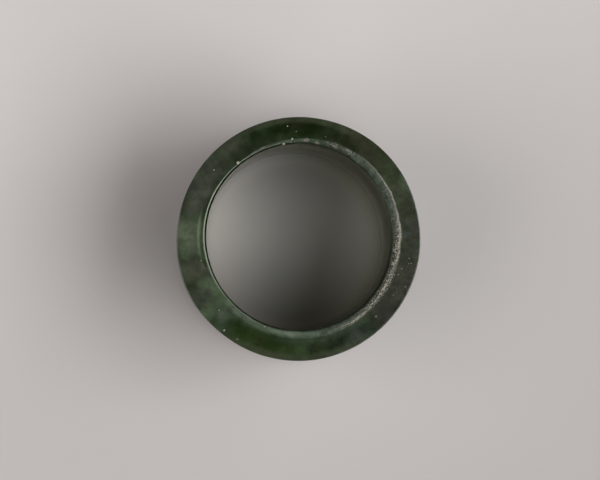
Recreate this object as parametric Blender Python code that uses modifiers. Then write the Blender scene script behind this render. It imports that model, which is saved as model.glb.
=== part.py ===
# Jade thumb ring: a short tube carved from one piece of dark green stone, standing on
# its flat end. Lengths are in metres and angles in degrees. +Z is the axis of the ring,
# and the origin is the centre of the end that it stands on.

import math

import bpy

# The hole and the wall around it
BORE_DIAMETER = 0.0231
WALL_THICKNESS = 0.00345
RING_HEIGHT = 0.0250

# The hole was drilled a little off the middle
BORE_SHIFT = 0.00022
BORE_SHIFT_DIRECTION = 70.0

# The upper end is all but flat: a very low crown that runs out to a crisp outer edge
CROWN_SLOPE = 2.0
TOP_EDGE_RADIUS = 0.0003

# The mouth of the hole was ground by hand, so its bevel is wider on one side
MOUTH_BEVEL_WIDTH = 0.00084
MOUTH_BEVEL_SLOPE = 42.0
MOUTH_BEVEL_SHIFT = 0.00037
MOUTH_BEVEL_SHIFT_DIRECTION = -42.0
MOUTH_BEVEL_STRETCH = 0.00024
MOUTH_BEVEL_STRETCH_DIRECTION = 32.0

# The lower end is flat and plainer
BASE_EDGE_RADIUS = 0.0004
BASE_BEVEL_WIDTH = 0.00035
BASE_BEVEL_SLOPE = 45.0

# Fineness of the surface
TURN_STEPS = 128
CROWN_STEPS = 3
EDGE_STEPS = 6
MERGE_DISTANCE = 0.000001
SHARP_ANGLE = 25.0

# A cutter runs past the face that it opens by this much
CUT_MARGIN = 0.002

STONE_COLOR = (0.034, 0.044, 0.024, 1.0)
STONE_ROUGHNESS = 0.25
STONE_METALLIC = 0.0

bore_radius = BORE_DIAMETER / 2
outer_radius = bore_radius + WALL_THICKNESS
ridge_radius = bore_radius + MOUTH_BEVEL_WIDTH


def clear_scene():
    for item in list(bpy.data.objects):
        bpy.data.objects.remove(item)


def make_collection(name):
    collection = bpy.data.collections.new(name)
    bpy.context.scene.collection.children.link(collection)
    return collection


def stone_material():
    material = bpy.data.materials.new("dark_green_jade")
    material.use_nodes = True
    shader = material.node_tree.nodes["Principled BSDF"]
    shader.inputs["Base Color"].default_value = STONE_COLOR
    shader.inputs["Roughness"].default_value = STONE_ROUGHNESS
    shader.inputs["Metallic"].default_value = STONE_METALLIC
    return material


def arc(centre_x, centre_z, radius, first, last):
    # Points of an arc from the first angle to the last: centre + radius (cos a, sin a)
    points = []
    for step in range(EDGE_STEPS + 1):
        angle = math.radians(first + (last - first) * step / EDGE_STEPS)
        points.append((centre_x + radius * math.cos(angle), centre_z + radius * math.sin(angle)))
    return points


def along(centre, distance, direction):
    # The point at a distance and direction from a centre, in the XY plane
    angle = math.radians(direction)
    return (centre[0] + distance * math.cos(angle), centre[1] + distance * math.sin(angle), 0.0)


def turned(name, profile, collection):
    # A closed solid of revolution about Z. The profile is a list of (radius, height)
    # that starts and ends on the axis and runs down the outer side.
    mesh = bpy.data.meshes.new(name)
    points = [(radius, 0.0, height) for radius, height in profile]
    edges = [(number, number + 1) for number in range(len(points) - 1)]
    mesh.from_pydata(points, edges, [])
    item = bpy.data.objects.new(name, mesh)
    collection.objects.link(item)
    screw = item.modifiers.new("turn", "SCREW")
    screw.axis = "Z"
    screw.angle = math.radians(360)
    screw.steps = TURN_STEPS
    screw.render_steps = TURN_STEPS
    screw.use_merge_vertices = True
    screw.merge_threshold = MERGE_DISTANCE
    screw.use_smooth_shade = True
    return item


def outer_profile():
    # The end is level at the ridge of the mouth bevel and falls as a parabola to
    # CROWN_SLOPE where the edge arc takes over, tangent to both crown and wall
    arc_start = 90.0 - CROWN_SLOPE
    shoulder_radius = outer_radius - TOP_EDGE_RADIUS * (1 - math.cos(math.radians(arc_start)))
    crown_width = shoulder_radius - ridge_radius
    crown_fall = crown_width * math.tan(math.radians(CROWN_SLOPE)) / 2
    profile = [(0.0, RING_HEIGHT)]
    for step in range(CROWN_STEPS):
        share = step / CROWN_STEPS
        profile.append((ridge_radius + crown_width * share, RING_HEIGHT - crown_fall * share ** 2))
    edge_centre_z = RING_HEIGHT - crown_fall - TOP_EDGE_RADIUS * math.sin(math.radians(arc_start))
    profile += arc(outer_radius - TOP_EDGE_RADIUS, edge_centre_z, TOP_EDGE_RADIUS, arc_start, 0.0)
    profile += arc(outer_radius - BASE_EDGE_RADIUS, BASE_EDGE_RADIUS, BASE_EDGE_RADIUS, 0.0, -90.0)
    profile.append((0.0, 0.0))
    return profile


def bore_profile():
    # A straight hole that widens to a plain bevel at the lower end
    bevel_height = BASE_BEVEL_WIDTH * math.tan(math.radians(BASE_BEVEL_SLOPE))
    low = -CUT_MARGIN
    low_radius = bore_radius + BASE_BEVEL_WIDTH * (1 + CUT_MARGIN / bevel_height)
    return [
        (0.0, RING_HEIGHT + CUT_MARGIN),
        (bore_radius, RING_HEIGHT + CUT_MARGIN),
        (bore_radius, bevel_height),
        (low_radius, low),
        (0.0, low),
    ]


def mouth_bevel_profile():
    # A cone that passes through the ridge at the top and closes to the axis below
    slope = math.tan(math.radians(MOUTH_BEVEL_SLOPE))
    return [
        (0.0, RING_HEIGHT + CUT_MARGIN),
        (ridge_radius + CUT_MARGIN / slope, RING_HEIGHT + CUT_MARGIN),
        (0.0, RING_HEIGHT - ridge_radius * slope),
    ]


def cut(item, cutter):
    boolean = item.modifiers.new("cut_" + cutter.name, "BOOLEAN")
    boolean.operation = "DIFFERENCE"
    boolean.solver = "EXACT"
    boolean.object = cutter
    cutter.hide_render = True
    cutter.display_type = "WIRE"


def keep_evaluated_mesh(item):
    # The carved result takes the place of the profile, with its hard edges marked
    depsgraph = bpy.context.evaluated_depsgraph_get()
    mesh = bpy.data.meshes.new_from_object(item.evaluated_get(depsgraph))
    item.modifiers.clear()
    item.data = mesh
    mesh.shade_smooth()
    mesh.set_sharp_from_angle(angle=math.radians(SHARP_ANGLE))


def make_ring():
    ring_collection = make_collection("jade_thumb_ring")
    cutter_collection = make_collection("cutters")
    ring = turned("thumb_ring", outer_profile(), ring_collection)

    bore = turned("bore", bore_profile(), cutter_collection)
    bore_centre = along((0.0, 0.0), BORE_SHIFT, BORE_SHIFT_DIRECTION)
    bore.location = bore_centre
    cut(ring, bore)

    # The bevel's cone is moved off the axis of the hole and drawn out along one direction
    mouth = turned("mouth_bevel", mouth_bevel_profile(), cutter_collection)
    mouth.location = along(bore_centre, MOUTH_BEVEL_SHIFT, MOUTH_BEVEL_SHIFT_DIRECTION)
    mouth.rotation_euler.z = math.radians(MOUTH_BEVEL_STRETCH_DIRECTION)
    stretch = MOUTH_BEVEL_STRETCH / ridge_radius
    mouth.scale = (1 + stretch, 1 - stretch, 1)
    cut(ring, mouth)

    keep_evaluated_mesh(ring)
    ring.data.materials.clear()
    ring.data.materials.append(stone_material())


clear_scene()
make_ring()
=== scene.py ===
# A jade archer's ring standing on its flat end, seen from almost straight above.
# Metres, +Z up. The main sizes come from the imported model, the fine surface from here.
import itertools
import math

import bpy
import numpy as np
from mathutils import Matrix, Vector


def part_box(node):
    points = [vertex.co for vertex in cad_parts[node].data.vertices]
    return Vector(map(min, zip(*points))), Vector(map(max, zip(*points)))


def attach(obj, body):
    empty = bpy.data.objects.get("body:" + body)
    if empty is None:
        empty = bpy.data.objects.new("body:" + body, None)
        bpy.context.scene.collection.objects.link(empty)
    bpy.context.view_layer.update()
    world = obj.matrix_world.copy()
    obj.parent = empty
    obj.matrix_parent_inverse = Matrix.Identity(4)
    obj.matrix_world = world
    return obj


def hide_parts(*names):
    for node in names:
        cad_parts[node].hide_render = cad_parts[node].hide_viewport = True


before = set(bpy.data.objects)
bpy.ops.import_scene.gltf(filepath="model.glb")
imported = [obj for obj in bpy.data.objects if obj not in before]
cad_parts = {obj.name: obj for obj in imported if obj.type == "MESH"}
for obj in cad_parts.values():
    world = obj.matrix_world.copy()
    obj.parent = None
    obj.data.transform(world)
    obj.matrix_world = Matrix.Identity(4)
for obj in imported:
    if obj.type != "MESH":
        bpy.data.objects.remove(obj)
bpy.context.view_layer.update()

mm = 0.001
latticeSize = 64                           # cubes along each side before a noise repeats


def say(stage):
    print("ring scene:", stage)


def measureModel(node):
    # Outer radius and height from the node's box. Every point low on the wall of the hole
    # lies on one circle, x^2 + y^2 = 2ax + 2by + c, and least squares gives a, b and c.
    low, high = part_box(node)
    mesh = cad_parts[node].data
    points = np.empty(len(mesh.vertices) * 3)
    mesh.vertices.foreach_get("co", points)
    points = points.reshape(-1, 3)
    outerRadius = (high.x - low.x) / 2
    baseClear = 0.1 * mm                   # points this close to the base aren't on the wall
    holeLimit = 0.85 * outerRadius         # and points further out are on the outside
    x, y, z = points.T
    onWall = (z > baseClear) & (z < high.z / 2) & (np.hypot(x, y) < holeLimit)
    x, y = x[onWall], y[onWall]
    terms = np.column_stack([2 * x, 2 * y, np.ones(len(x))])
    (a, b, c), *_ = np.linalg.lstsq(terms, x * x + y * y, rcond=None)
    bore = math.sqrt(c + a * a + b * b)
    return {"outer": outerRadius, "height": high.z, "bore": bore, "middle": (a, b)}


model = measureModel("thumb_ring")
say("measured the model")


# Shape of the ring. Directions are degrees round the ring, 0 at +X and 90 at +Y. A swell is
# (direction, size, spread in degrees): one soft rise or dip on the way round. Lengths in mm.
ringShape = {
    "columns": 1000,
    "outerSwells": [(10, -0.05, 12), (44, 0.06, 18), (130, -0.05, 34), (190, 0.06, 14), (212, 0.18, 16),
                    (245, 0.08, 16), (272, 0.07, 18)],
    "baseSwells": [(232, -0.30, 34)],      # the outside leans in this much more at its foot
    "boreSwells": [(118, -0.08, 40), (22, -0.12, 50), (300, -0.04, 40), (224, -0.09, 38),
                   (190, -0.035, 45)],
    "bevelWidth": 1.07,
    "bevelSwells": [(106, -0.556, 41), (142, -0.357, 21), (210, 0.285, 21), (263, -0.228, 26),
                    (224, 0.09, 38), (330, -0.09, 28)],
    "bevelWander": 0.035,                  # how far the ridge strays from its line
    "bevelWanderCell": 2.0,
    "bevelWanderSeed": 5,
    "lipWidth": 0.475,                     # the inner part of the bevel, which is steeper
    "lipWidthSwells": [(111, -0.234, 52), (223, -0.31, 64)],
    "ridgeSlope": 38.7,                    # degrees below the level of the end, beside the ridge
    "ridgeSlopeSwells": [(125, -22, 27), (181, -36.2, 57), (236, -19, 22), (317, -14, 32)],
    "lipSlope": 54,                        # the same beside the hole
    "lipSlopeSwells": [(150, -8, 45)],
    "endFall": 0.05,                       # from the bevel out to the outer edge
    "ridgeSoftness": 0.06,
    "ridgeSoftnessSwells": [(200, 0.30, 30)],
    "lipReach": 0.315,                     # how far the lip is rounded, both ways
    "lipReachSwells": [(106, -0.14, 51), (224, -0.25, 66)],
    "bendReach": 0.60,                     # the same where the bevel bends
    "bendReachSwells": [(165, -0.42, 45), (222, -0.30, 40)],
    "outerEdgeSoftness": 0.12,
    "baseEdgeSoftness": 0.40,
    "baseBevelWidth": 0.15,
    "baseCornerSoftness": 0.06,
    "cornerShare": 0.45,                   # a corner's softness takes this much of a side at most
    "cornerRows": 7,
    "runRows": (5, 9, 7, 17, 8, 2, 2),     # hole, lower and upper bevel, end, outside, base, base bevel
}


def swells(turn, items):
    # Sum of size * exp(-(d / spread)^2), d the way round from each direction, turn in degrees
    total = np.zeros_like(turn)
    for direction, size, spread in items:
        away = (turn - direction + 180) % 360 - 180
        total += size * np.exp(-(away / spread) ** 2)
    return total


def latticeNoise(points, cell, seed):
    # Soft noise from -1 to 1: random values at the corners of cubes of the cell's size in mm,
    # blended inside each cube by 3 t^2 - 2 t^3 along x, y and z
    lattice = np.random.default_rng(seed).uniform(-1, 1, (latticeSize,) * 3)
    place = points / (mm * cell)
    corner = np.floor(place).astype(int)
    share = place - corner
    share = share * share * (3 - 2 * share)
    total = np.zeros(points.shape[:-1])
    for step in itertools.product((0, 1), repeat=3):
        weight = np.prod(np.where(np.array(step), share, 1 - share), axis=-1)
        i, j, k = np.moveaxis((corner + step) % latticeSize, -1, 0)
        total += weight * lattice[i, j, k]
    return total


def layeredNoise(points, cell, seed, layers=3):
    # Sum of noises, each half the cell and half the size of the one before
    return sum(latticeNoise(points, cell / 2 ** n, seed + n) / 2 ** n for n in range(layers))


def pitNoise(points, cell, fill, seed):
    # Round pits from 0 to 1: a share of the cubes holds one pit at a random place, as deep as
    # (1 - (d / r)^2)^2 at a distance d inside its radius r. Radii are shares of a cube's side.
    smallest, largest, none = 0.25, 0.75, 0.01
    cubes = (latticeSize,) * 3
    draw = np.random.default_rng(seed)
    middles = draw.uniform(0, 1, cubes + (3,))
    filled = draw.uniform(0, 1, cubes) < fill
    radii = np.where(filled, draw.uniform(smallest, largest, cubes), none)
    place = points / (mm * cell)
    corner = np.floor(place).astype(int)
    depth = np.zeros(points.shape[:-1])
    for step in itertools.product((-1, 0, 1), repeat=3):
        cube = corner + step
        i, j, k = np.moveaxis(cube % latticeSize, -1, 0)
        distance = np.linalg.norm(place - cube - middles[i, j, k], axis=-1)
        depth = np.maximum(depth, np.clip(1 - (distance / radii[i, j, k]) ** 2, 0, 1) ** 2)
    return depth


def straight(start, end, rows):
    # Points start + (end - start) s, s from 0 up to but not including 1
    share = (np.arange(rows) / rows)[:, None]
    return start[:, None, :] + (end - start)[:, None, :] * share


def softCorner(before, corner, after, reachBefore, reachAfter, rows):
    # Quadratic Bezier from the corner's one side to its other, each a reach away from the
    # corner: (1 - s)^2 A + 2 s (1 - s) C + s^2 B. Returns A, B and the points from A up to B.
    def toward(other, reach):
        step = other - corner
        return corner + step / np.linalg.norm(step, axis=1)[:, None] * reach[:, None]

    first, last = toward(before, reachBefore), toward(after, reachAfter)
    share = (np.arange(rows) / rows)[:, None]
    curve = ((1 - share) ** 2 * first[:, None, :] + 2 * share * (1 - share) * corner[:, None, :]
             + share ** 2 * last[:, None, :])
    return first, last, curve


def ringSections(shape):
    # One closed section (radius, height) for each direction, up the hole, over the upper end,
    # down the outside and back under: straight runs between soft corners. The bevel bends from
    # the ridge's slope to the lip's steeper one, lipWidth away from the hole.
    turn = np.arange(shape["columns"]) * 360 / shape["columns"]
    angle = np.radians(turn)
    zero = np.zeros_like(turn)
    outer = model["outer"] + mm * swells(turn, shape["outerSwells"])
    a, b = model["middle"]
    along = a * np.cos(angle) + b * np.sin(angle)
    across = a * np.sin(angle) - b * np.cos(angle)
    bore = along + np.sqrt(model["bore"] ** 2 - across ** 2) + mm * swells(turn, shape["boreSwells"])
    circle = model["outer"] * np.stack([np.cos(angle), np.sin(angle), zero], axis=1)
    wander = shape["bevelWander"] * layeredNoise(circle, shape["bevelWanderCell"],
                                                 shape["bevelWanderSeed"], 4)

    def around(name):
        return shape[name] + swells(turn, shape[name + "Swells"])

    width = mm * (shape["bevelWidth"] + swells(turn, shape["bevelSwells"]) + wander)
    lipWidth = mm * around("lipWidth")
    upper, lower = (np.tan(np.radians(around(name))) for name in ("ridgeSlope", "lipSlope"))
    bendDrop = (width - lipWidth) * upper
    top = zero + model["height"]
    baseBevel = mm * shape["baseBevelWidth"]
    ridgeSoft, lipSoft = mm * around("ridgeSoftness"), mm * around("lipReach")
    bendSoft, edgeSoft = mm * around("bendReach"), mm * shape["outerEdgeSoftness"]
    baseSoft, footSoft = mm * shape["baseEdgeSoftness"], mm * shape["baseCornerSoftness"]
    # Each corner: radius, height, how far it's softened before and after it
    corners = [
        (bore, zero + baseBevel, footSoft, footSoft),
        (bore, top - bendDrop - lipWidth * lower, lipSoft, lipSoft),
        (bore + lipWidth, top - bendDrop, bendSoft, bendSoft),
        (bore + width, top, ridgeSoft, ridgeSoft),
        (outer, top - mm * shape["endFall"], edgeSoft, edgeSoft),
        (outer + mm * swells(turn, shape["baseSwells"]), zero, baseSoft, baseSoft),
        (bore + baseBevel, zero, footSoft, footSoft),
    ]
    points = [np.stack([radius, height], axis=1) for radius, height, *soft in corners]
    rounded = []
    for number, (_, _, *soft) in enumerate(corners):
        before, corner, after = points[number - 1], points[number], points[(number + 1) % len(points)]
        sides = [np.linalg.norm(corner - other, axis=1) for other in (before, after)]
        reaches = [np.minimum(amount + zero, shape["cornerShare"] * side)
                   for amount, side in zip(soft, sides)]
        rounded.append(softCorner(before, corner, after, *reaches, shape["cornerRows"]))
    runs = []
    part = []                              # which run each row belongs to
    for number, (first, last, curve) in enumerate(rounded):
        runs.append(curve)
        part += [number - 0.5] * shape["cornerRows"]
        rows = shape["runRows"][number]
        runs.append(straight(last, rounded[(number + 1) % len(rounded)][0], rows))
        part += [float(number)] * rows
    sections = np.concatenate(runs, axis=1)
    inset = (sections[..., 0] - bore[:, None]) / mm                  # mm from the wall of the hole
    share = inset * mm / width[:, None]                              # 0 at the lip, 1 at the ridge
    return turn, sections, np.array(part), inset, share


def ringPoints(turn, sections):
    # x = r cos(turn), y = r sin(turn), z = height
    angle = np.radians(turn)[:, None]
    radius, height = sections[..., 0], sections[..., 1]
    return np.stack([radius * np.cos(angle), radius * np.sin(angle), height], axis=-1)


def closedGrid(name, points):
    # Joins a grid that closes on itself both ways into one mesh of four-sided faces
    columns, rows = points.shape[:2]
    column, row = np.meshgrid(np.arange(columns), np.arange(rows), indexing="ij")
    nextColumn, nextRow = (column + 1) % columns, (row + 1) % rows
    faces = np.stack([column * rows + row, column * rows + nextRow,
                      nextColumn * rows + nextRow, nextColumn * rows + row], axis=-1).reshape(-1, 4)
    mesh = bpy.data.meshes.new(name)
    mesh.vertices.add(columns * rows)
    mesh.vertices.foreach_set("co", points.reshape(-1).astype(np.float32))
    mesh.loops.add(faces.size)
    mesh.loops.foreach_set("vertex_index", faces.reshape(-1).astype(np.int32))
    mesh.polygons.add(len(faces))
    mesh.polygons.foreach_set("loop_start", (np.arange(len(faces)) * 4).astype(np.int32))
    mesh.update(calc_edges=True)
    mesh.validate()
    mesh.shade_smooth()
    piece = bpy.data.objects.new(name, mesh)
    bpy.context.scene.collection.objects.link(piece)
    return piece


def gridNormals(points):
    # Outward normals of a closed grid: the step along the section times the step round the ring
    around = np.roll(points, -1, axis=0) - np.roll(points, 1, axis=0)
    along = np.roll(points, -1, axis=1) - np.roll(points, 1, axis=1)
    normals = np.cross(along, around)
    return normals / np.linalg.norm(normals, axis=-1, keepdims=True)


def ramp(values, start, end):
    # 0 before start, 1 after end, 3 t^2 - 2 t^3 between
    share = np.clip((values - start) / (end - start), 0, 1)
    return share * share * (3 - 2 * share)


# Fine relief of the ring, sizes in mm. Swells here are shares from 0 to 1. A lane is
# (direction, spread in degrees, mm from the wall of the hole, width of the lane, strength).
ringFinish = {
    "groundAround": [(338, 0.9, 34), (20, 0.6, 30), (64, 0.7, 12), (290, 0.6, 20)],
    "frostAround": [(338, 0.9, 34), (20, 0.85, 34), (56, 0.60, 13), (285, 0.8, 26),
                    (253, 0.75, 19), (90, 0.7, 14)],
    "softRidgeAround": [(240, 1.0, 34)],
    "pittedAround": [(345, 0.95, 28), (318, 0.8, 14), (70, 1.0, 5), (60, 1.0, 4), (285, 0.2, 22)],
    # where the wall of the hole is painted paler, as painted light
    "litHoleAround": [(140, 1.0, 28), (92, 0.42, 30), (66, 0.08, 12)],
    # The crest is worn stone, with a painted highlight along the ridge at 0 to 30 degrees
    "crestLanes": [(8, 12, 0.97, 0.09, 1.0), (30, 14, 1.01, 0.06, 0.7), (353, 10, 0.84, 0.08, 1.0),
                   (340, 8, 0.69, 0.06, 1.0), (324, 9, 0.69, 0.07, 0.9), (306, 10, 0.76, 0.14, 0.5),
                   (331, 6, 0.74, 0.10, 0.85), (86, 1.2, 0.40, 0.20, 0.25), (0, 6, 0.90, 0.09, 0.8),
                   (79, 1.3, 0.30, 0.12, 0.5)],
    # Painted glints on flakes and grains of the worn bevel, with painted shade between them
    "sparkLanes": [(346, 17, 0.56, 0.32, 1.0), (322, 12, 0.54, 0.30, 0.7), (304, 9, 0.72, 0.22, 0.6),
                   (0, 6, 0.70, 0.24, 0.8), (70, 3.4, 0.50, 0.30, 0.5), (60, 2.8, 0.60, 0.28, 0.45),
                   (86, 1.4, 0.36, 0.22, 1.0), (332, 10, 1.02, 0.20, 0.35)],
    # Painted shade along the lip, down the top of the wall of the hole and across the bevel at the left
    "shadeLanes": [(322, 32, 0.05, 0.12, 1.0), (286, 18, 0.05, 0.09, 1.0), (350, 16, 0.00, 0.10, 0.5),
                  (76, 20, 0.085, 0.08, 1.0), (112, 24, 0.09, 0.055, 0.9), (150, 26, 0.06, 0.13, 1.0),
                  (190, 26, 0.06, 0.135, 1.0), (232, 28, 0.06, 0.11, 1.0), (180, 22, 0.58, 0.16, 0.4)],
    # Painted highlight along the lip and, at the left, along the ridge
    "highlightLanes": [(178, 11, 0.98, 0.14, 0.55), (180, 20, 0.345, 0.065, 1.0), (150, 17, 0.28, 0.06, 0.7),
                  (230, 24, 0.29, 0.05, 0.7), (18, 22, 0.13, 0.06, 0.6), (100, 9, 0.26, 0.05, 0.4),
                  (124, 12, 0.24, 0.05, 0.3)],
    "hazeLanes": [(266, 14, 0.46, 0.34, 1.0), (320, 24, 0.34, 0.14, 0.20), (285, 34, 1.40, 0.35, 0.12),
                  (229, 9, 0.60, 0.30, 0.45), (299, 13, 0.64, 0.34, 0.45)],
    # How far each kind of lane wanders off its line
    "laneWander": {"crestLanes": 0.07, "sparkLanes": 0.08, "shadeLanes": 0.02, "highlightLanes": 0.01,
                   "hazeLanes": 0.10},
    # the painted shade along the lip fades out down the hole
    "lipShade": 3.0,                       # mm down the hole where the dark lanes have faded out
    "lipShadeSwells": [(322, 2.5, 40)],
    "lipShadeStart": 0.3,                  # share of that depth where they begin to fade
    # Where the ground surface begins, in mm from the hole, and ends, in shares of the bevel
    "groundStart": (0.0, 0.1),
    "groundEnd": (0.97, 1.08),
    "groundEdge": (0.8, 0.35),             # how full it is, and how ragged its edge
    "groundRange": (0.2, 0.8),
    "frostStart": (0.1, 0.25),
    "softRidgeReach": 0.3,                 # the frost fades out this much sooner and later
    "ridgeBand": 0.10,                     # share of the bevel beside its ridge that is chipped
    "lipBand": 0.08,                       # mm beside the lip that are chipped
    "raggedCell": 0.8,
    "grainCell": 0.22,
    "grainHeight": 0.030,
    "strokeCell": 0.20,
    "strokeRun": 0.12,                     # less than 1 draws a stroke out along its run
    "strokeHeight": 0.018,
    "pitCell": 0.34,
    "pitFill": 0.55,                       # share of the cubes that hold a pit
    "pitDepth": 0.070,
    "ridgePits": 0.55,
    "chipCell": 0.9,
    "chipStart": 0.15,                     # noise above this is a chip
    "chipDepth": 0.060,
    "lipChips": 0.5,
    "waveCell": 5.0,
    "waveHeight": 0.008,
    "polishCell": 0.7,
    "polishHeight": 0.0012,
    "seeds": {"ragged": 11, "grain": 21, "stroke": 31, "pit": 41, "chip": 51, "wave": 61, "polish": 71},
}


def ringRelief(points, turn, sections, part, inset, share, finish):
    # How far each point stands off the smooth shape, in mm, how ground, pitted and worn it is,
    # and its shares of painted highlight and shade: r (g + s) - p - c + w, r the ground share,
    # g grain, s strokes across the bevel, p pits and c chips on its ridge, w waves in the polish.
    seeds = finish["seeds"]
    hole, bevelAndEnd = (-0.6, 0.3), (0.4, 3.4)      # run numbers between which each part lies
    onHole = (part > hole[0]) & (part < hole[1])
    upper = (part > bevelAndEnd[0]) & (part < bevelAndEnd[1])
    onBevel = ramp(inset, *finish["groundStart"]) * (1 - ramp(share, *finish["groundEnd"])) * upper
    nearRidge = np.exp(-((share - 1) / finish["ridgeBand"]) ** 2) * upper
    nearLip = np.exp(-(inset / finish["lipBand"]) ** 2) * upper
    around = {name: np.clip(swells(turn, finish[name]), 0, 1)[:, None]
              for name in ("groundAround", "frostAround", "softRidgeAround", "pittedAround",
                           "litHoleAround")}
    ragged = layeredNoise(points, finish["raggedCell"], seeds["ragged"])
    full, uneven = finish["groundEdge"]
    worked = ramp(onBevel * (full + uneven * ragged), *finish["groundRange"])
    softness = finish["softRidgeReach"] * around["softRidgeAround"]
    fadeStart, fadeStop = finish["groundEnd"]
    frosted = ramp(inset, *finish["frostStart"]) * upper
    frosted *= 1 - ramp(share, fadeStart - softness, fadeStop + softness)
    depth = (model["height"] - sections[..., 1]) / mm
    shadeEnd = (finish["lipShade"] + swells(turn, finish["lipShadeSwells"]))[:, None]
    topOnly = upper + onHole * (1 - ramp(depth, finish["lipShadeStart"] * shadeEnd, shadeEnd))

    def laned(name):
        # Sum of exp(-(d / width)^2), d the distance from a lane's line, each fading out both
        # ways round the ring
        total = np.zeros_like(share)
        stray = finish["laneWander"][name] * ragged
        for direction, spread, place, wide, strength in finish[name]:
            lane = np.exp(-((inset - place - stray) / wide) ** 2) * topOnly
            total += swells(turn, [(direction, strength, spread)])[:, None] * lane
        return np.clip(total, 0, 1)

    def centred(values):
        # Noise round 0 becomes a share round a half
        return np.clip(0.5 + 0.5 * values, 0, 1)

    grain = layeredNoise(points, finish["grainCell"], seeds["grain"])
    # Strokes: noise on a cylinder, drawn out along its axis, so that it runs across the bevel
    angle = np.radians(turn)[:, None] + 0 * share
    flat = np.stack([model["outer"] * np.cos(angle), model["outer"] * np.sin(angle),
                     finish["strokeRun"] * np.hypot(sections[..., 0], sections[..., 1])], axis=-1)
    strokes = layeredNoise(flat, finish["strokeCell"], seeds["stroke"], 2)
    pits = pitNoise(points, finish["pitCell"], finish["pitFill"], seeds["pit"])
    pitPlaces = np.clip(onBevel + finish["ridgePits"] * nearRidge, 0, 1)
    values = {
        "ground": worked * around["groundAround"],
        "frost": frosted * around["frostAround"],
        "strokes": centred(strokes),
        "pitted": pits * around["pittedAround"] * pitPlaces,
        "wearAndHighlight": laned("crestLanes"),
        "spark": laned("sparkLanes"),
        "shade_lane": laned("shadeLanes"),
        "lip_highlight": laned("highlightLanes"),
        "haze": laned("hazeLanes"),
        "grains": centred(grain),
        "inside": onHole + 0.0 * share,
        "lit_hole": onHole * around["litHoleAround"],
    }
    chips = layeredNoise(points, finish["chipCell"], seeds["chip"]) - finish["chipStart"]
    chips = np.clip(chips, 0, 1) * (nearRidge * around["pittedAround"] + finish["lipChips"] * nearLip)
    waves = layeredNoise(points, finish["waveCell"], seeds["wave"], 2)
    polish = layeredNoise(points, finish["polishCell"], seeds["polish"], 2)
    rough = np.maximum(values["ground"], values["wearAndHighlight"] * onBevel)
    height = (rough * (finish["grainHeight"] * grain + finish["strokeHeight"] * strokes)
              - finish["pitDepth"] * values["pitted"] - finish["chipDepth"] * chips
              + finish["waveHeight"] * waves + finish["polishHeight"] * polish)
    return height, values


def giveValues(piece, name, values):
    # One number for each point of the mesh, for its material to read
    attribute = piece.data.attributes.new(name, "FLOAT", "POINT")
    attribute.data.foreach_set("value", values.reshape(-1).astype(np.float32))


turn, sections, part, inset, share = ringSections(ringShape)
smoothGrid = ringPoints(turn, sections)
relief, finishValues = ringRelief(smoothGrid, turn, sections, part, inset, share, ringFinish)
ringGrid = smoothGrid + gridNormals(smoothGrid) * relief[..., None] * mm
ringGrid[..., 2] = np.clip(ringGrid[..., 2], 0, model["height"])
ringPiece = closedGrid("jade_ring", ringGrid)
for name, values in finishValues.items():
    giveValues(ringPiece, name, values)
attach(ringPiece, "root")
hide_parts("thumb_ring")
say(f"shaped the ring, {len(ringPiece.data.polygons) * 2} triangles")


class MaterialKit:
    # Makes the nodes of one material. Most of its functions give back the output that the
    # next node reads.
    def __init__(self, name):
        self.material = bpy.data.materials.new(name)
        self.material.use_nodes = True
        self.tree = self.material.node_tree
        self.shader = self.tree.nodes["Principled BSDF"]

    def node(self, kind, inputs=(), **settings):
        made = self.tree.nodes.new("ShaderNode" + kind)
        for name, value in settings.items():
            setattr(made, name, value)
        for name, value in dict(inputs).items():
            if isinstance(value, bpy.types.NodeSocket):
                self.tree.links.new(value, made.inputs[name])
            else:
                made.inputs[name].default_value = value
        return made

    def join(self, value, name):
        # Joins a finished pattern to the shader
        self.tree.links.new(value, self.shader.inputs[name])

    def place(self):
        # Object coordinates in millimetres
        metres = self.node("TexCoord").outputs["Object"]
        return self.node("Mapping", {"Vector": metres, "Scale": (1 / mm,) * 3}).outputs[0]

    def attribute(self, name):
        return self.node("Attribute", attribute_name=name).outputs["Fac"]

    def math(self, operation, *values):
        return self.node("Math", dict(enumerate(values)), operation=operation).outputs[0]

    def vector(self, operation, *values):
        return self.node("VectorMath", dict(enumerate(values)), operation=operation).outputs[0]

    def number(self, operation, *values):
        # The same for LENGTH and DOT_PRODUCT, which give one number
        return self.node("VectorMath", dict(enumerate(values)), operation=operation).outputs["Value"]

    def scaled(self, value, factor):
        return self.node("VectorMath", {0: value, "Scale": factor}, operation="SCALE").outputs[0]

    def axis(self, value, name):
        return self.node("SeparateXYZ", {0: value}).outputs[name]

    def mix(self, share, under, over):
        return self.node("Mix", {0: share, 2: under, 3: over}).outputs[0]

    def mixVector(self, share, under, over):
        return self.node("Mix", {0: share, 4: under, 5: over}, data_type="VECTOR").outputs[1]

    def blend(self, share, under, over):
        return self.node("Mix", {0: share, 6: under, 7: over}, data_type="RGBA").outputs[2]

    def span(self, value, low, high, newLow=0.0, newHigh=1.0, kind="SMOOTHSTEP"):
        # The value carried from low and high to newLow and newHigh, softly unless kind is LINEAR
        inputs = {"Value": value, "From Min": low, "From Max": high, "To Min": newLow, "To Max": newHigh}
        return self.node("MapRange", inputs, interpolation_type=kind).outputs["Result"]

    def noise(self, place, scale, detail, roughness, output="Fac"):
        inputs = {"Vector": place, "Scale": scale, "Detail": detail, "Roughness": roughness}
        return self.node("TexNoise", inputs).outputs[output]


def paint(color):
    # A colour with the fourth number that a socket asks for
    return (*color, 1.0)


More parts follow.
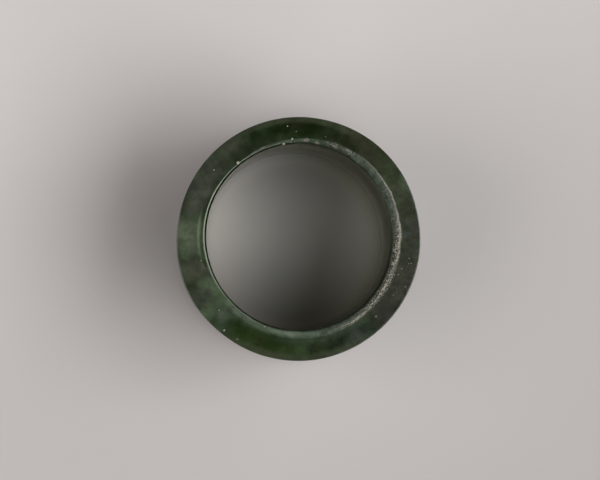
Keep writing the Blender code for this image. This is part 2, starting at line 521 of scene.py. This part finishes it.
# Colours are linear. A cloud is (direction, mm from the axis, size in mm, colour, strength).
jadeLook = {
    "base": (0.025, 0.040, 0.017),
    "dark": (0.009, 0.019, 0.004),
    "pale": (0.070, 0.106, 0.055),
    "smudge": (0.030, 0.028, 0.018),
    "frost": (0.092, 0.124, 0.090),
    "greenFrost": (0.060, 0.094, 0.048),
    "haze": (0.205, 0.262, 0.195),
    "wearAndHighlight": (0.60, 0.55, 0.45),
    "spark": (0.95, 0.85, 0.73),
    "gapShade": (0.006, 0.006, 0.005),
    "lipHighlight": (0.25, 0.305, 0.205),
    "laneShade": (0.006, 0.012, 0.001),
    # painted light beside the outer edge, for light that the stone lets through
    "rimLight": (0.050, 0.061, 0.034),
    "hole": (0.056, 0.065, 0.020),
    # painted light on the wall of the hole: paler towards its foot, where it meets the floor, and where
    # the lamps light it
    "holeFootLight": (0.24, 0.26, 0.165),
    "litHole": (0.235, 0.216, 0.158),
    "holeEdgeLight": (0.48, 0.46, 0.40),        # where the wall of the hole meets the floor
    "holeShare": 0.9,                      # how far the hole's own colours cover the stone's
    "speck": (0.48, 0.46, 0.38),
    "speckWarp": 0.3,                      # mm that a speck is pulled out of round
    "speckDepth": 4,                       # times its radius, down into the ring
    "speckEdge": (0.4, 1.1),               # times its radius, where it begins and ends to fade
    "speckHalo": (1.0, 2.8),               # the same for the dark stone round it
    "speckHaloShare": 0.5,
    # A speck is (x, y, radius, strength) on the upper end, in mm
    "specks": [
        (-1.44, 13.85, 0.11, 0.9), (-0.81, 12.22, 0.16, 0.9), (-1.87, 11.62, 0.23, 1.0),
        (-0.38, 13.17, 0.12, 0.3), (-7.50, 9.35, 0.22, 1.0), (-10.43, 8.40, 0.11, 0.7),
        (-12.06, -2.75, 0.12, 0.4), (-9.84, -8.81, 0.14, 0.5), (-9.20, -11.31, 0.12, 0.9),
        (-7.61, -12.46, 0.12, 0.4), (13.63, -2.44, 0.10, 0.6), (13.86, -2.98, 0.09, 0.6),
        (13.48, -3.10, 0.09, 0.4), (12.25, -4.46, 0.13, 0.3), (11.62, -7.01, 0.14, 0.25),
        (9.50, -9.62, 0.15, 0.3), (12.67, -3.68, 0.12, 0.3), (13.10, -5.90, 0.10, 0.25),
        (-0.95, 11.90, 0.12, 0.9), (-0.45, 11.82, 0.11, 0.7), (3.25, 12.56, 0.10, 0.22),
        (-4.22, -10.85, 0.14, 0.9), (-7.22, -9.73, 0.08, 0.3),
    ],
    "clouds": [
        (4, 13.5, 3.0, (0.046, 0.050, 0.037), 0.9),
        (15, 13.6, 1.4, (0.036, 0.040, 0.024), 0.7),
        (28, 13.6, 2.6, (0.050, 0.066, 0.036), 0.9),
        (42, 13.9, 2.8, (0.033, 0.042, 0.020), 0.9),
        (56, 14.0, 2.6, (0.030, 0.033, 0.017), 0.9),
        (46, 12.5, 1.3, (0.018, 0.022, 0.011), 0.7),
        (61, 12.5, 1.3, (0.009, 0.014, 0.005), 0.85),
        (68, 13.0, 2.2, (0.012, 0.020, 0.005), 0.9),
        (65, 14.6, 1.5, (0.036, 0.033, 0.023), 0.7),
        (77, 14.4, 1.5, (0.020, 0.022, 0.011), 0.8),
        (24, 13.3, 1.5, (0.040, 0.047, 0.030), 0.8),
        (20, 14.5, 1.4, (0.036, 0.041, 0.026), 0.8),
        (62, 14.3, 1.2, (0.028, 0.027, 0.016), 0.7),
        (64, 13.1, 1.1, (0.008, 0.013, 0.003), 0.7),
        (126, 12.8, 1.3, (0.012, 0.021, 0.008), 0.75),
        (353, 14.2, 1.2, (0.037, 0.037, 0.028), 0.7),
        (84, 13.4, 3.0, (0.006, 0.013, 0.001), 0.95),
        (99, 13.7, 2.4, (0.007, 0.015, 0.002), 0.95),
        (112, 13.0, 2.0, (0.011, 0.021, 0.007), 0.9),
        (122, 12.7, 1.4, (0.009, 0.018, 0.005), 0.85),
        (101, 12.4, 0.9, (0.030, 0.044, 0.020), 0.6),
        (126, 14.4, 2.2, (0.052, 0.059, 0.040), 0.85),
        (141, 13.9, 2.6, (0.050, 0.056, 0.041), 0.9),
        (135, 12.6, 1.1, (0.030, 0.035, 0.023), 0.7),
        (152, 13.2, 1.7, (0.074, 0.080, 0.063), 0.75),
        (185, 12.9, 1.2, (0.098, 0.114, 0.084), 0.65),
        (155, 14.3, 1.0, (0.052, 0.051, 0.045), 0.7),
        (162, 13.7, 2.0, (0.068, 0.077, 0.055), 0.9),
        (178, 13.7, 2.8, (0.098, 0.126, 0.078), 0.95),
        (196, 13.8, 2.2, (0.055, 0.062, 0.042), 0.9),
        (201, 12.3, 1.2, (0.040, 0.046, 0.031), 0.8),
        (212, 13.9, 2.4, (0.058, 0.069, 0.045), 0.85),
        (226, 13.7, 2.0, (0.038, 0.057, 0.032), 0.85),
        (224, 12.8, 1.2, (0.066, 0.085, 0.058), 0.8),
        (240, 13.7, 2.4, (0.016, 0.031, 0.005), 0.95),
        (252, 13.7, 2.4, (0.017, 0.033, 0.006), 0.95),
        (249, 13.6, 0.7, (0.028, 0.036, 0.008), 0.5),
        (264, 13.7, 1.8, (0.022, 0.040, 0.009), 0.9),
        (272, 13.7, 1.3, (0.034, 0.060, 0.022), 0.9),
        (280, 13.4, 1.2, (0.015, 0.022, 0.008), 0.85),
        (290, 13.6, 2.2, (0.013, 0.023, 0.009), 0.9),
        (304, 13.7, 2.2, (0.028, 0.040, 0.026), 0.9),
        (320, 13.8, 2.6, (0.032, 0.033, 0.025), 0.9),
        (341, 13.8, 2.8, (0.045, 0.045, 0.034), 0.9),
        (330, 13.7, 1.8, (0.056, 0.054, 0.045), 0.7),
        (3, 12.9, 0.9, (0.034, 0.060, 0.052), 0.55),
        (211, 14.1, 1.6, (0.044, 0.053, 0.037), 0.5),
        (317, 13.6, 1.3, (0.023, 0.023, 0.018), 0.5),
        (299, 14.1, 1.6, (0.050, 0.058, 0.047), 0.45),
    ],
    "cloudDepth": 3.5,                     # times a cloud's size, down into the ring
    "cloudEdge": (0.25, 1.15),             # times its size, where it begins and ends to fade
    "warp": 1.2,                           # mm that the clouds' edges wander
    # A pattern is noise of (scale in 1/mm, detail, roughness)
    "patterns": {
        "warp": (0.28, 4.0, 0.6),
        "broad": (0.15, 5.0, 0.55),
        "mottle": (0.6, 6.0, 0.58),
        "fleck": (2.4, 3.0, 0.65),
        "smudge": (0.4, 5.0, 0.6),
        "grain": (5.8, 3.0, 0.7),
        "patches": (1.3, 4.0, 0.6),
        "jitter": (3.0, 1.0, 0.5),
        "polish": (0.9, 5.0, 0.6),
        "finePits": (9.0, 3.0, 0.65),
    },
    "flakeScale": 4.5,
    # A range is (low, high) carried to 0 and 1, or (low, high, newLow, newHigh)
    "ranges": {
        "darkClouds": (0.34, 0.5),
        "paleClouds": (0.5, 0.66),
        "mottle": (0.28, 0.72, 0.75, 1.26),
        "fleck": (0.32, 0.68, 0.86, 1.14),
        "fleckSide": (-6.0, 9.0, 0.2, 0.6),            # more flecks towards +X
        "smudge": (0.54, 0.70, 0.0, 0.35),
        "rimLight": (14.0, 14.6, 0.0, 0.75),                # mm from the axis
        "rimLightSide": (0.75, 0.95),
        # the painted light at the foot of the hole fades out up to this height
        "holeHeight": (0.0, 18.0),                     # mm up the hole, from holeFootLight to hole
        "holeEdgeLightHeight": (0.0, 11.0, 0.95, 0.0),
        "frostPatches": (0.3, 0.6, 0.55, 1.0),
        "greenSide": (-3.5, 3.5, 1.0, 0.0),            # greener frost towards -X
        "streaks": (0.25, 0.75, 0.72, 1.35),
        "hazePatches": (0.35, 0.6, 0.5, 1.0),
        "glints": (0.58, 0.66, 0.0, 0.6),
        "glintPatches": (0.44, 0.56),
        "highlightPatches": (0.35, 0.6, 0.65, 1.0),
        "sparkPatches": (0.36, 0.52, 0.5, 1.0),
        "gapShadeShare": (0.46, 0.51, 0.9, 0.0),
        "flakeSize": (0.22, 0.42, 1.0, 0.0),
        "flakeTone": (0.2, 0.8),
        "grainSparks": (0.53, 0.58, 0.0, 0.85),
        "wornGrain": (0.40, 0.50, 0.4, 1.0),
        "wornRelief": (0.30, 0.50, 0.6, 1.0),
        "wornSparks": (0.45, 0.54, 0.15, 1.0),
        "pits": (0.3, 0.7, 0.0, 0.8),
        "polishRough": (0.3, 0.7, 0.11, 0.22),
        "holeRough": (0.5, 16.0, 0.12, 0.37),          # smoother at the foot of the hole
        "shadeRough": (-5.0, 3.0, 0.08, 1.0),        # smoother towards -X
    },
    "groundRoughness": 0.42,
    "litHoleRoughness": 0.16,
    "ior": 1.6,
    "bumpStrength": (0.02, 0.5),           # on polished and on ground stone
    "bumpHeight": 0.03,
}


def jadeMaterial(look):
    kit = MaterialKit("jade")
    place = kit.place()                    # from the middle of the ring's base
    top = model["height"] / mm
    x = kit.axis(place, "X")
    rise = kit.axis(place, "Z")

    def pattern(name, where, output="Fac"):
        return kit.noise(where, *look["patterns"][name], output)

    def ranged(name, value):
        return kit.span(value, *look["ranges"][name])

    def wandering(name, width):
        # Noise from -width / 2 to width / 2 along x, y and z
        wander = kit.vector("SUBTRACT", pattern(name, place, "Color"), (0.5, 0.5, 0.5))
        return kit.vector("MULTIPLY", wander, (width,) * 3)

    warped = kit.vector("ADD", place, wandering("warp", 2 * look["warp"]))

    # Broad clouds all through the stone
    broad = pattern("broad", warped)
    color = kit.blend(ranged("darkClouds", broad), paint(look["dark"]), paint(look["base"]))
    color = kit.blend(ranged("paleClouds", broad), color, paint(look["pale"]))

    # Clouds of the upper end, each fading out from its middle
    for direction, reach, size, tint, strength in look["clouds"]:
        angle = math.radians(direction)
        middle = (reach * math.cos(angle), reach * math.sin(angle), top)
        away = kit.vector("SUBTRACT", warped, middle)
        away = kit.vector("MULTIPLY", away, (1 / size, 1 / size, 1 / (size * look["cloudDepth"])))
        share = kit.span(kit.number("LENGTH", away), *look["cloudEdge"], strength, 0.0)
        color = kit.blend(share, color, paint(tint))

    # Painted light: the stone is painted paler beside its outer edge, at +Y and -Y, for the light that
    # it lets through there
    reach = kit.number("LENGTH", kit.vector("MULTIPLY", place, (1, 1, 0)))
    aside = kit.math("DIVIDE", kit.math("ABSOLUTE", kit.axis(place, "Y")), reach)
    edge = kit.math("MULTIPLY", ranged("rimLight", reach), ranged("rimLightSide", aside))
    color = kit.blend(edge, color, paint(look["rimLight"]))

    # Fine mottling: darker and lighter by a share of the colour itself, with brown smudges
    color = kit.scaled(color, ranged("mottle", pattern("mottle", place)))
    fleck = ranged("fleck", pattern("fleck", place))
    color = kit.scaled(color, kit.mix(ranged("fleckSide", x), 1.0, fleck))
    color = kit.blend(ranged("smudge", pattern("smudge", warped)), color, paint(look["smudge"]))

    # The wall of the hole is browner, with painted light: paler towards its foot, where it meets the
    # floor, and where the lamps light it
    insideShare = kit.attribute("inside")
    litHole = kit.attribute("lit_hole")
    holeColor = kit.blend(ranged("holeHeight", rise), paint(look["holeFootLight"]), paint(look["hole"]))
    holeColor = kit.blend(litHole, holeColor, paint(look["litHole"]))
    holeColor = kit.blend(ranged("holeEdgeLightHeight", rise), holeColor, paint(look["holeEdgeLight"]))
    color = kit.blend(kit.math("MULTIPLY", insideShare, look["holeShare"]), color, holeColor)

    # The ground bevel is frosted, greener and without streaks towards -X
    groundShare = kit.attribute("ground")
    frostShare = kit.attribute("frost")
    grain = pattern("grain", place)
    patches = pattern("patches", place)
    greener = ranged("greenSide", x)
    streaks = kit.mix(greener, ranged("streaks", kit.attribute("strokes")), 1.0)
    frostColor = kit.scaled(kit.blend(greener, paint(look["frost"]), paint(look["greenFrost"])), streaks)
    frost = kit.math("MULTIPLY", frostShare, ranged("frostPatches", patches))
    color = kit.blend(frost, color, frostColor)

    # Haze, then painted glints on the ground surface and a painted highlight along the lip
    haze = kit.math("MULTIPLY", kit.attribute("haze"), ranged("hazePatches", patches))
    color = kit.blend(haze, color, paint(look["haze"]))
    # painted glints on the ground surface
    glints = kit.math("MULTIPLY", ranged("glints", grain), ranged("glintPatches", patches))
    color = kit.blend(kit.math("MULTIPLY", groundShare, glints), color, paint(look["wearAndHighlight"]))
    # painted highlight along the lip
    highlightShare = kit.math("MULTIPLY", kit.attribute("lip_highlight"), ranged("highlightPatches", patches))
    color = kit.blend(highlightShare, color, paint(look["lipHighlight"]))

    # Bright flakes and grains, partly painted glints, with painted shade in the gaps between them
    sparkShare = kit.math("MULTIPLY", kit.attribute("spark"), ranged("sparkPatches", patches))
    gapShadeShare = kit.math("MULTIPLY", sparkShare, ranged("gapShadeShare", grain))
    color = kit.blend(gapShadeShare, color, paint(look["gapShade"]))
    flakes = kit.node("TexVoronoi", {"Vector": place, "Scale": look["flakeScale"], "Randomness": 1.0})
    flakeTone = kit.axis(flakes.outputs["Color"], "X")
    flake = kit.math("MULTIPLY", ranged("flakeSize", flakes.outputs["Distance"]),
                     ranged("flakeTone", flakeTone))
    sparks = kit.math("MAXIMUM", flake, ranged("grainSparks", grain))
    color = kit.blend(kit.math("MULTIPLY", sparkShare, sparks), color, paint(look["spark"]))

    # The worn crest with a painted highlight, grainier where the flakes are, then painted shade in the
    # pits and along the lip
    solid = kit.math("MULTIPLY", ranged("wornGrain", grain),
                     ranged("wornRelief", kit.attribute("grains")))
    crest = kit.mix(sparkShare, solid, ranged("wornSparks", grain))
    color = kit.blend(kit.math("MULTIPLY", kit.attribute("wearAndHighlight"), crest), color, paint(look["wearAndHighlight"]))
    # painted shade in the pits
    color = kit.blend(ranged("pits", kit.attribute("pitted")), color, paint(look["dark"]))
    # painted shade along the lip and down the top of the hole
    shadeShare = kit.attribute("shade_lane")
    color = kit.blend(shadeShare, color, paint(look["laneShade"]))

    # Pale specks in the stone of the upper end, partly painted glints, each with darker stone round it
    uneven = kit.vector("ADD", place, wandering("jitter", look["speckWarp"]))
    uneven = kit.vector("MULTIPLY", uneven, (1, 1, 1 / look["speckDepth"]))
    haloStart, haloEnd = look["speckHalo"]
    speckStart, speckEnd = look["speckEdge"]
    for speckX, speckY, radius, strength in look["specks"]:
        away = kit.vector("SUBTRACT", uneven, (speckX, speckY, top / look["speckDepth"]))
        distance = kit.number("LENGTH", away)
        halo = kit.span(distance, haloStart * radius, haloEnd * radius,
                        look["speckHaloShare"] * strength, 0.0)
        color = kit.blend(halo, color, paint(look["dark"]))
        speck = kit.span(distance, speckStart * radius, speckEnd * radius, strength, 0.0)
        color = kit.blend(speck, color, paint(look["speck"]))
    kit.join(color, "Base Color")

    rough = ranged("polishRough", pattern("polish", place))
    rough = kit.mix(frostShare, rough, look["groundRoughness"])
    holeRough = kit.mix(litHole, ranged("holeRough", rise), look["litHoleRoughness"])
    rough = kit.mix(insideShare, rough, holeRough)
    rough = kit.mix(shadeShare, rough, ranged("shadeRough", x))
    kit.join(rough, "Roughness")
    kit.shader.inputs["IOR"].default_value = look["ior"]

    strength = kit.mix(groundShare, *look["bumpStrength"])
    bump = kit.node("Bump", {"Strength": strength, "Distance": look["bumpHeight"] * mm,
                             "Height": pattern("finePits", place)})
    kit.join(bump.outputs["Normal"], "Normal")
    return kit.material


ringPiece.data.materials.append(jadeMaterial(jadeLook))
say("made the jade")


# The pale surface that the ring stands on. Its tone changes by a share for each mm along
# x and y. Inside the ring that is painted light and shade, greener where the stone colours the light.
floorLook = {
    "size": 3.0,
    "color": (0.72, 0.68, 0.665),
    "roughness": 0.9,
    "change": (-0.0018, 0.0035, 0),
    # painted light and shade inside the hole: darker towards +X and lighter towards +Y, with a bend
    "insideChange": (-0.0070, 0.0070, 0),
    "insideBend": (0.0011, -0.0022, 0),    # the same for each square mm
    "toneLimit": 1.15,
    "insideTint": (0.627, 0.621, 0.589),
    "leftTint": (0.690, 0.652, 0.620),     # the same at the left, where less light comes through
    "leftSide": (-11.5, -1.0),             # mm along x between which it goes over to insideTint
    # painted shade beside the wall of the hole, green from the light that the stone colours
    "footShadeTint": (0.567, 0.587, 0.475),     # beside the wall of the hole, at +X
    "footStart": 9.0,                      # mm from the axis where it begins
    "footSide": (-2.0, 7.0),               # mm along x between which it comes in
    "contactWidth": 1.1,                   # mm beside the wall of the hole that lie in its shade
    "contactShade": 0.85,
    "contactEnd": 0.5,                     # mm under the ring, where the shade begins to end
}


def floorMaterial(look):
    # Colour = c (1 + g . p + b . p^2) s, c the tint inside the ring's wall and the plain colour
    # outside it, g the change, b the bend, in the middle of the hole only, and s the shade
    # beside the wall of the hole. Inside the ring c, g, b and s are painted light and shade.
    kit = MaterialKit("pale_paper")
    kit.shader.inputs["Roughness"].default_value = look["roughness"]
    bore, outer = model["bore"] / mm, model["outer"] / mm
    place = kit.place()
    reach = kit.number("LENGTH", place)
    x = kit.axis(place, "X")
    inside = kit.span(reach, bore, outer, 1.0, 0.0, kind="LINEAR")
    foot = kit.span(reach, look["footStart"], bore)

    leftShare = kit.span(x, *look["leftSide"], kind="LINEAR")
    insideColor = kit.blend(leftShare, paint(look["leftTint"]), paint(look["insideTint"]))
    footShadeShare = kit.math("MULTIPLY", foot, kit.span(x, *look["footSide"], kind="LINEAR"))
    insideColor = kit.blend(footShadeShare, insideColor, paint(look["footShadeTint"]))
    color = kit.blend(inside, paint(look["color"]), insideColor)

    change = kit.mixVector(inside, look["change"], look["insideChange"])
    bend = kit.number("DOT_PRODUCT", kit.vector("MULTIPLY", place, place), look["insideBend"])
    bend = kit.math("MULTIPLY", bend, kit.math("SUBTRACT", 1.0, foot))
    tone = kit.math("ADD", kit.number("DOT_PRODUCT", place, change), 1.0)
    tone = kit.math("MINIMUM", kit.math("ADD", tone, bend), look["toneLimit"])

    contact = kit.span(reach, bore - look["contactWidth"], bore, 1.0, look["contactShade"])
    beside = kit.span(reach, bore + look["contactEnd"], outer - look["contactEnd"], kind="LINEAR")
    tone = kit.math("MULTIPLY", tone, kit.math("MAXIMUM", contact, beside))
    kit.join(kit.scaled(color, tone), "Base Color")
    return kit.material


def makeFloor(look):
    # A level square, (x, y, 0) with x and y from -size / 2 to size / 2
    half = look["size"] / 2
    corners = [(-half, -half, 0), (half, -half, 0), (half, half, 0), (-half, half, 0)]
    mesh = bpy.data.meshes.new("floor")
    mesh.from_pydata(corners, [], [(0, 1, 2, 3)])
    floor = bpy.data.objects.new("floor", mesh)
    bpy.context.scene.collection.objects.link(floor)
    floor.data.materials.append(floorMaterial(look))


makeFloor(floorLook)

# The camera looks down a long lens from 450 mm above the end, a little to the lower left
cameraLook = {
    "distance": 450,                       # mm from the middle of the upper end
    "offset": (-16.8, -11.8),              # mm to the side of the ring's axis
    "ringRadiusPixels": 121.9,
    "ringMiddlePixel": (298.98, 238.48),
    "imageSize": (600, 480),
    "sensorWidth": 36,                     # mm
    "clip": (0.01, 10),                    # metres
}


def makeCamera(look):
    # The aim is off the ring by as much as the ring is off the middle of the image, and the
    # lens makes the outer radius as many pixels at that distance as it has in the image.
    pixelSize = model["outer"] / look["ringRadiusPixels"]      # metres
    wide, high = look["imageSize"]
    column, row = look["ringMiddlePixel"]
    aim = Vector(((wide / 2 - column) * pixelSize, (row - high / 2) * pixelSize, model["height"]))
    across, along = (value * mm for value in look["offset"])
    above = math.sqrt((look["distance"] * mm) ** 2 - across ** 2 - along ** 2)
    data = bpy.data.cameras.new("camera")
    data.sensor_width = look["sensorWidth"]
    data.lens = data.sensor_width * look["distance"] * mm / (wide * pixelSize)
    data.clip_start, data.clip_end = look["clip"]
    camera = bpy.data.objects.new("camera", data)
    camera.location = aim + Vector((across, along, above))
    back = (camera.location - aim).normalized()
    right = Vector((0, 1, 0)).cross(back).normalized()         # +Y is up in the image
    camera.rotation_euler = Matrix((right, back.cross(right), back)).transposed().to_euler()
    bpy.context.scene.collection.objects.link(camera)
    bpy.context.scene.camera = camera


makeCamera(cameraLook)

# Soft studio light: name, direction round the ring, height above the floor in degrees,
# width and height of the box in metres, power in watts, colour. All hang 0.9 m from the ring.
neutral, warm = (1, 1, 1), (1, 0.96, 0.945)
studioLights = [
    ("key", 347, 55.5, 0.66, 0.61, 5.05, neutral),
    ("right", 30, 32, 0.60, 0.35, 1.10, neutral),
    ("front", 300, 30, 0.40, 0.35, 0.95, neutral),
    ("left", 194, 32, 0.95, 0.49, 1.95, warm),
    ("leftTop", 191, 60, 0.56, 0.35, 1.00, warm),
]
lightDistance = 0.9
worldLook = {"color": (1.0, 0.98, 0.97), "strength": 0.02}


def makeLight(name, direction, rise, width, height, power, color):
    data = bpy.data.lights.new(name, "AREA")
    data.shape = "RECTANGLE"
    data.size = width
    data.size_y = height
    data.energy = power
    data.color = color
    turnAngle, riseAngle = math.radians(direction), math.radians(rise)
    place = lightDistance * Vector((math.cos(turnAngle) * math.cos(riseAngle),
                                    math.sin(turnAngle) * math.cos(riseAngle), math.sin(riseAngle)))
    lamp = bpy.data.objects.new(name, data)
    lamp.location = place
    lamp.rotation_euler = (-place).to_track_quat("-Z", "Y").to_euler()
    lamp.visible_camera = False
    bpy.context.scene.collection.objects.link(lamp)


def makeWorld(look):
    world = bpy.data.worlds.new("studio")
    world.use_nodes = True
    background = world.node_tree.nodes["Background"]
    background.inputs["Color"].default_value = (*look["color"], 1)
    background.inputs["Strength"].default_value = look["strength"]
    bpy.context.scene.world = world


for light in studioLights:
    makeLight(*light)
makeWorld(worldLook)
bpy.context.scene.view_settings.view_transform = "Standard"
say("set the floor, the camera and the lights")
